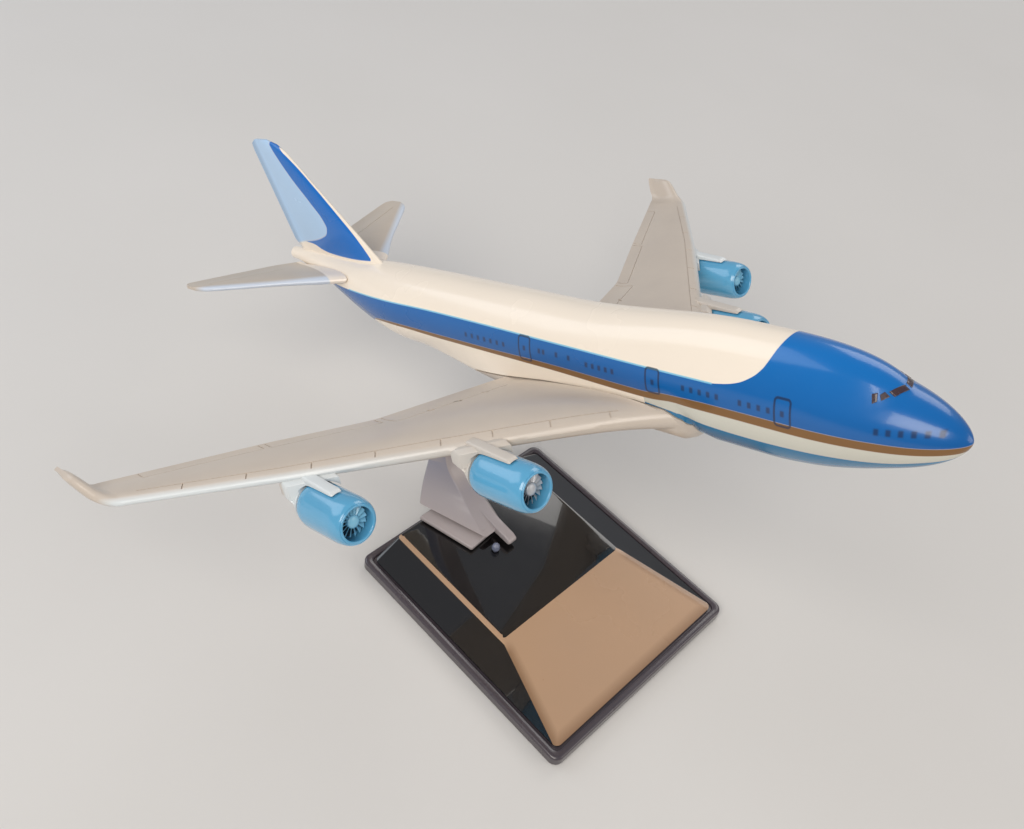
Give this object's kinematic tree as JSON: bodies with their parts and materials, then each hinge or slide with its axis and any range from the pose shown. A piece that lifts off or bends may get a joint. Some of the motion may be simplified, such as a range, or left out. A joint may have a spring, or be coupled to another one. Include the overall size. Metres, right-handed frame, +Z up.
{
  "type": "desktop airliner model",
  "caption": "Die-cast wide-body airliner with swept wings, winglets and podded engines, flying nose-up on a curved arm above a sloped rectangular base.",
  "frame": {"origin": "the middle of the base's underside, on the desk", "axes": "+X towards the nose, +Y towards the port wing, +Z up"},
  "size_m": [0.1584, 0.1458, 0.0984],
  "materials": {
    "fuselage_paint": "gloss enamel, warm white with a blue nose, a blue band, a gold line and a light blue belly",
    "wing_paint": "satin grey-beige enamel",
    "nacelle_paint": "gloss light blue enamel",
    "fan_silver": "satin silver",
    "fan_blue": "gloss light blue enamel",
    "screw_steel": "plated",
    "arm_plastic": "satin grey moulding",
    "cover_gloss": "mirror-gloss black",
    "plinth_gloss": "gloss black with rounded edges",
    "pad_rubber": "matt sheet",
    "ballast_steel": "sheared plate"
  },
  "bodies": {
    "stand_base": {"base_plinth": "plinth_gloss", "base_cover": "cover_gloss", "base_pad": "pad_rubber", "base_ballast": "ballast_steel", "stand_pin": "arm_plastic"},
    "arm": {"stand_arm": "arm_plastic"},
    "aircraft": {"fuselage_casting": "fuselage_paint", "wing_casting": "wing_paint", "tailplane_port": "wing_paint", "tailplane_starboard": "wing_paint", "nacelle_inner_port": "nacelle_paint", "nacelle_inner_starboard": "nacelle_paint", "nacelle_outer_port": "nacelle_paint", "nacelle_outer_starboard": "nacelle_paint", "belly_screw_front": "screw_steel", "belly_screw_rear": "screw_steel"},
    "inner_starboard_fan": {"fan_inner_starboard": "fan_silver"},
    "inner_port_fan": {"fan_inner_port": "fan_silver"},
    "outer_starboard_fan": {"fan_outer_starboard": "fan_blue"},
    "outer_port_fan": {"fan_outer_port": "fan_blue"}
  },
  "joints": [
    {"name": "arm_pull_out", "type": "slide", "parent": "stand_base", "child": "arm", "axis": [0, 0, 1], "range_m": [0, 0.025]},
    {"name": "aircraft_lift_off", "type": "slide", "parent": "arm", "child": "aircraft", "axis": [-0.4478, 0, 0.8942], "range_m": [0, 0.025]},
    {"name": "inner_starboard_fan_spin", "type": "hinge", "parent": "aircraft", "child": "inner_starboard_fan", "pos_m": [0.01202, -0.02819, 0.06569], "axis": [0.8942, 0, 0.4478], "continuous": true},
    {"name": "inner_port_fan_spin", "type": "hinge", "parent": "aircraft", "child": "inner_port_fan", "pos_m": [0.01202, 0.02819, 0.06569], "axis": [0.8942, 0, 0.4478], "continuous": true},
    {"name": "outer_starboard_fan_spin", "type": "hinge", "parent": "aircraft", "child": "outer_starboard_fan", "pos_m": [-0.00402, -0.04768, 0.05753], "axis": [0.8942, 0, 0.4478], "continuous": true},
    {"name": "outer_port_fan_spin", "type": "hinge", "parent": "aircraft", "child": "outer_port_fan", "pos_m": [-0.00402, 0.04768, 0.05753], "axis": [0.8942, 0, 0.4478], "continuous": true}
  ]
}
